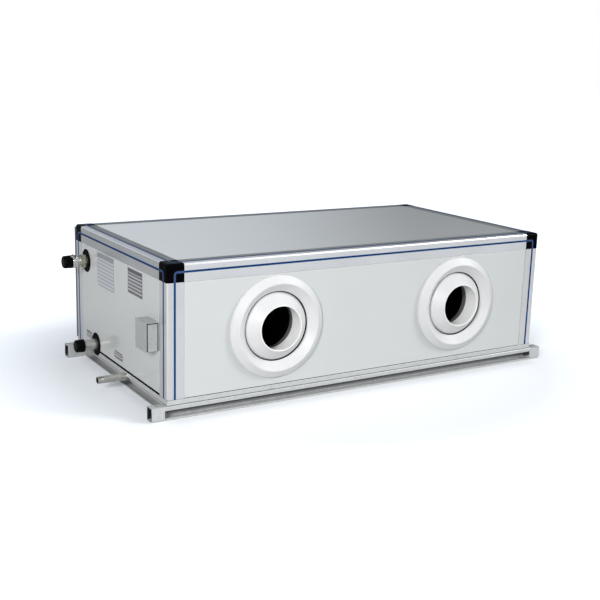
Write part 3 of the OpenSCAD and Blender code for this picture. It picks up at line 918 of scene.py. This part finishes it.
# Junction box: a folded zinc sheet box for the motor cable, screwed to the left panel.
# Its lid is held by two screws, and a cover is set into a dark joint in its front.
box_fold = 0.0025
cover_edge = 0.002
cover_gap = 0.003
cover_t = 0.0006
lid_lip = 0.0012
lid_edge = 0.0008
lid_screw_inset = 0.008
box_zinc = galvanised("box_zinc", (0.42, 0.44, 0.43), (0.50, 0.52, 0.51), metallic=0.35)
low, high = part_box("junction_box")
bm = bmesh.new()
block(bm, low, high, box_fold, steps=3)
put_on(piece_from("cable_box", bm), [box_zinc], ["junction_box"])
for name, margin, rise, finish in (("cable_box_joint", cover_edge, cover_t, seam_black),
                                   ("cable_box_cover", cover_edge + cover_gap, 2 * cover_t, box_zinc)):
    bm = bmesh.new()
    block(bm, Vector((low.x + margin, low.y - rise, low.z + cover_edge)),
          Vector((high.x - margin, low.y + cover_t, high.z - margin)), cover_t / 3)
    put_on(piece_from(name, bm), [finish])
low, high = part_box("junction_box_lid")
lip = Vector((0, lid_lip, lid_lip))
bm = bmesh.new()
block(bm, low - lip, high + lip, lid_edge)
put_on(piece_from("cable_box_lid", bm), [box_zinc], ["junction_box_lid"])
bm = bmesh.new()
for z in (low.z + lid_screw_inset, high.z - lid_screw_inset):
    hex_screw(bm, Vector((low.x, (low.y + high.y) / 2, z)), left_out)
soften(bm, screw_edge)
put_on(piece_from("cable_box_screws", bm), [box_zinc])


# Return frame: a flange of dark coated steel bars behind the casing, to which a return duct is screwed.
# Two bars run the whole length, and two shorter ones stand between them.
flange_bar = 0.058
flange_edge = 0.0012
flange_dark = moulded("flange_dark", (0.10, 0.105, 0.11), (0.125, 0.13, 0.135),
                      roughness=0.45, grain_scale=900.0, grain=0.05)
low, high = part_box("return_frame")
sill = low.z + flange_bar
head = high.z - flange_bar
bm = bmesh.new()
for bar_low, bar_high in (
    (low, Vector((high.x, high.y, sill))),
    (Vector((low.x, low.y, head)), high),
    (Vector((low.x, low.y, sill)), Vector((low.x + flange_bar, high.y, head))),
    (Vector((high.x - flange_bar, low.y, sill)), Vector((high.x, high.y, head))),
):
    block(bm, bar_low, bar_high, flange_edge)
put_on(piece_from("return_flange", bm), [flange_dark], ["return_frame"])


# Filter: a dark synthetic mat folded into upright pleats, slid into the return frame.
# The mat is one zigzag line pushed up and then given its thickness.
pleat_pitch = 0.02
pleat_depth = 0.014
mat_t = 0.002
filter_mat = moulded("filter_mat", (0.06, 0.065, 0.07), (0.09, 0.095, 0.10),
                     roughness=0.9, grain_scale=500.0, grain=0.8)
low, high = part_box("return_filter")
folds = 2 * int((high.x - low.x) / pleat_pitch)
fold_step = (high.x - low.x) / folds
bm = bmesh.new()
zigzag = [bm.verts.new((low.x + fold_step * k, high.y - pleat_depth * (k % 2), low.z))
          for k in range(folds + 1)]
for pair in zip(zigzag, zigzag[1:]):
    bm.edges.new(pair)
pushed = bmesh.ops.extrude_edge_only(bm, edges=bm.edges[:])["geom"]
bmesh.ops.translate(bm, vec=(0, 0, high.z - low.z), verts=verts_of(pushed))
mat = piece_from("filter_pleats", bm)
wall = mat.modifiers.new("mat", "SOLIDIFY")
wall.thickness = mat_t
put_on(mat, [filter_mat], ["return_filter"], crease=20)


# Rating plates: blank film stickers on the left panel, each a ruled sheet glued over a darker one.
# The darker one shows as a border, and the rules are plain lines under a plain band.
# A place is (name, low and high y, low and high z, paper, ink, rules' pitch, rules' share).
plate_t = 0.0004
plate_round = 0.002
plate_border = 0.003
band_share = 0.15
plate_places = (
    ("wide_plate", (0.0305, 0.1985), (0.337, 0.462), (0.52, 0.53, 0.56), (0.28, 0.29, 0.31), 0.0135, 0.3),
    ("mid_plate", (-0.2335, -0.1035), (0.371, 0.460), (0.42, 0.42, 0.43), (0.09, 0.09, 0.095), 0.0125, 0.45),
    ("small_plate", (-0.0435, 0.0355), (0.096, 0.123), (0.52, 0.52, 0.53), (0.10, 0.10, 0.11), 0.0100, 0.45),
    ("pipe_plate", (0.274, 0.330), (0.103, 0.130), (0.52, 0.52, 0.52), (0.12, 0.12, 0.13), 0.0100, 0.45),
)


def reckon(finish, operation, *values):
    """A sum on shader values."""
    return node(finish, "Math", dict(enumerate(values)), operation=operation).outputs["Value"]


def ruled_film(name, paper, ink, pitch, share, band_foot):
    """Pale film with plain horizontal rules below a header band."""
    finish, shader, place = new_finish(name, {"Roughness": 0.4})
    height = node(finish, "SeparateXYZ", {"Vector": place}).outputs["Z"]
    saw = reckon(finish, "FRACT", reckon(finish, "MULTIPLY", height, 1 / pitch))
    rule = reckon(finish, "LESS_THAN", saw, share)
    band = reckon(finish, "GREATER_THAN", height, band_foot)
    inked = reckon(finish, "MAXIMUM", rule, band)
    feed(finish, shader, Base_Color=tones(finish, inked, (0.0, paper), (1.0, ink)))
    return finish


def sticker(name, wide, tall, base, finish):
    """A thin round cornered film on the left panel, from wide and tall (low, high) pairs."""
    bm = bmesh.new()
    bmesh.ops.create_grid(bm, x_segments=1, y_segments=1, size=0.5)
    bmesh.ops.scale(bm, vec=(wide[1] - wide[0], tall[1] - tall[0], 1), verts=bm.verts)
    bmesh.ops.bevel(bm, geom=bm.verts[:], offset=plate_round, offset_type="OFFSET", affect="VERTICES",
                    segments=4, profile=0.5, material=-1)
    raise_sheet(bm, plate_t)
    spot = Matrix.Translation((base, sum(wide) / 2, sum(tall) / 2))
    turn = Matrix.Rotation(-math.pi / 2, 4, "Z") @ Matrix.Rotation(math.pi / 2, 4, "X")
    bmesh.ops.transform(bm, matrix=spot @ turn, verts=bm.verts)
    bmesh.ops.recalc_face_normals(bm, faces=bm.faces)
    put_on(piece_from(name, bm), [finish])


for name, wide, tall, paper, ink, pitch, share in plate_places:
    border = moulded(name + "_border", ink, [tone * 1.1 for tone in ink],
                     roughness=0.4, grain_scale=600.0, grain=0.02)
    sticker(name, wide, tall, casing_low.x, border)
    band_foot = tall[1] - band_share * (tall[1] - tall[0])
    film = ruled_film(name + "_film", paper, ink, pitch, share, band_foot)
    sticker(name + "_rules", (wide[0] + plate_border, wide[1] - plate_border),
            (tall[0] + plate_border, tall[1] - plate_border), casing_low.x - plate_t, film)


# Studio floor: a pale floor that the camera sees lifted by a glow, and that lights the unit less. The glow is
# weaker near the unit, a painted shade round it that brightens to white away from the unit, and weaker still
# next to the rails, a painted contact shadow.
floor_size = 60.0
floor_near = 0.95
floor_far = 1.65
shaded_lift_near = 0.24
lift_far = 0.80
painted_shadow_reach = 0.09
painted_shadow_lift = 0.5
painted_shadow_side = 0.10
floor_seen = (0.76, 0.76, 0.76)
floor_unseen = (0.62, 0.63, 0.64)
floor_glow = (0.91, 1.0, 1.11, 1)


def reckon_vector(finish, operation, *values):
    """A sum on shader vectors; returns its node."""
    return node(finish, "VectorMath", dict(enumerate(values)), operation=operation)


floor_paint, shader, place = new_finish("floor_white", {"Roughness": 0.8, "Emission Color": floor_glow})
seen = node(floor_paint, "LightPath", {}).outputs["Is Camera Ray"]
reach = reckon_vector(floor_paint, "LENGTH", place).outputs["Value"]
# Painted shade: the glow is weaker near the unit and grows with distance.
lift = node(floor_paint, "MapRange", {"Value": reach, "From Min": floor_near, "From Max": floor_far,
                                      "To Min": shaded_lift_near, "To Max": lift_far}).outputs["Result"]
# Painted contact shadow: the glow fades further next to the rails.
rail_low, rail_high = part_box("front_rail")
foot_size = (rail_high.x - painted_shadow_side, -rail_low.y, 0)
spot = reckon_vector(floor_paint, "ABSOLUTE", place).outputs["Vector"]
spot = reckon_vector(floor_paint, "SUBTRACT", spot, foot_size).outputs["Vector"]
spot = reckon_vector(floor_paint, "MAXIMUM", spot, (0, 0, 0)).outputs["Vector"]
gap = reckon_vector(floor_paint, "LENGTH", spot).outputs["Value"]
painted_contact_shadow = node(floor_paint, "MapRange", {"Value": gap, "From Max": painted_shadow_reach, "To Min": painted_shadow_lift},
               interpolation_type="SMOOTHSTEP").outputs["Result"]
lift = reckon(floor_paint, "MULTIPLY", painted_contact_shadow, lift)
feed(floor_paint, shader,
     Base_Color=tones(floor_paint, seen, (0.0, floor_unseen), (1.0, floor_seen)),
     Emission_Strength=reckon(floor_paint, "MULTIPLY", seen, lift))
bm = bmesh.new()
bmesh.ops.create_grid(bm, x_segments=1, y_segments=1, size=floor_size / 2)
floor = piece_from("studio_floor", bm)
floor.data.materials.append(floor_paint)


# Studio surround: white to the camera, and a dim pale light with three soft bright patches to the unit.
# A patch is (direction, inner angle, outer angle, strength); the metal and the paint mirror them.
surround_strength = 0.17
surround_tint = (0.93, 1.0, 1.10, 1)
studio_patches = (
    ((0.253, 0.945, 0.208), 6, 24, 0.50),
    ((0.53, -0.84, 0.10), 6, 28, 1.2),
    ((-0.25, 0.90, 0.36), 8, 22, 0.8),
)
surround = bpy.data.worlds.new("studio_surround")
bpy.context.scene.world = surround
surround.use_nodes = True
ambient = surround.node_tree.nodes["Background"]
ambient.inputs["Color"].default_value = surround_tint
direction = node(surround, "TexCoord", {}).outputs["Generated"]
strength = surround_strength
for toward, inner, outer, gain in studio_patches:
    nearness = reckon_vector(surround, "DOT_PRODUCT", direction, toward).outputs["Value"]
    patch = node(surround, "MapRange", {"Value": nearness, "From Min": math.cos(math.radians(outer)),
                                        "From Max": math.cos(math.radians(inner)), "To Max": gain},
                 interpolation_type="SMOOTHSTEP").outputs["Result"]
    strength = reckon(surround, "ADD", strength, patch)
surround.node_tree.links.new(strength, ambient.inputs["Strength"])
white = node(surround, "Background", {"Color": (1, 1, 1, 1)}).outputs["Background"]
seen = node(surround, "LightPath", {}).outputs["Is Camera Ray"]
both = node(surround, "MixShader", {0: seen, 1: ambient.outputs["Background"], 2: white}).outputs["Shader"]
surround.node_tree.links.new(both, surround.node_tree.nodes["World Output"].inputs["Surface"])


# Studio lights and camera: a soft key light to the left of the camera, a weak lamp overhead
# and a low sun from the right. The camera stands where the photograph was taken.
lit_middle = Vector((0, 0, 0.3))
key_toward = Vector((-0.695, -0.617, 0.37))
key_distance = 9.0
key_power = 592.0
key_size = 2.0
overhead_place = (1.2, -0.8, 4.0)
overhead_power = 33.0
overhead_size = 3.0
sun_place = (4, -2.6, 3.0)
sun_strength = 1.5
sun_angle = 16
camera_place = (-2.1206, -3.3961, 1.1891)
camera_turns = (-31.5399, 13.3718, 1.6389)
focal_length = 61.2
sensor_width = 36


def aimed(name, kind, place, power):
    """A lamp that looks from a place to the middle of the unit."""
    lamp = bpy.data.lights.new(name, kind)
    lamp.energy = power
    holder = bpy.data.objects.new(name, lamp)
    holder.location = place
    holder.rotation_euler = (lit_middle - Vector(place)).to_track_quat("-Z", "Y").to_euler()
    bpy.context.scene.collection.objects.link(holder)
    return lamp


key = aimed("key", "AREA", lit_middle + key_distance * key_toward, key_power)
key.size = key_size
overhead = aimed("overhead", "AREA", overhead_place, overhead_power)
overhead.size = overhead_size
sun = aimed("sun", "SUN", sun_place, sun_strength)
sun.angle = math.radians(sun_angle)

bpy.context.scene.view_settings.view_transform = "Standard"
lens = bpy.data.cameras.new("photo_camera")
lens.lens = focal_length
lens.sensor_width = sensor_width
camera = bpy.data.objects.new("photo_camera", lens)
azimuth, elevation, roll = (math.radians(angle) for angle in camera_turns)
camera.matrix_world = (Matrix.Translation(camera_place) @ Matrix.Rotation(azimuth, 4, "Z")
                       @ Matrix.Rotation(math.pi / 2 - elevation, 4, "X") @ Matrix.Rotation(roll, 4, "Z"))
bpy.context.scene.collection.objects.link(camera)
bpy.context.scene.camera = camera
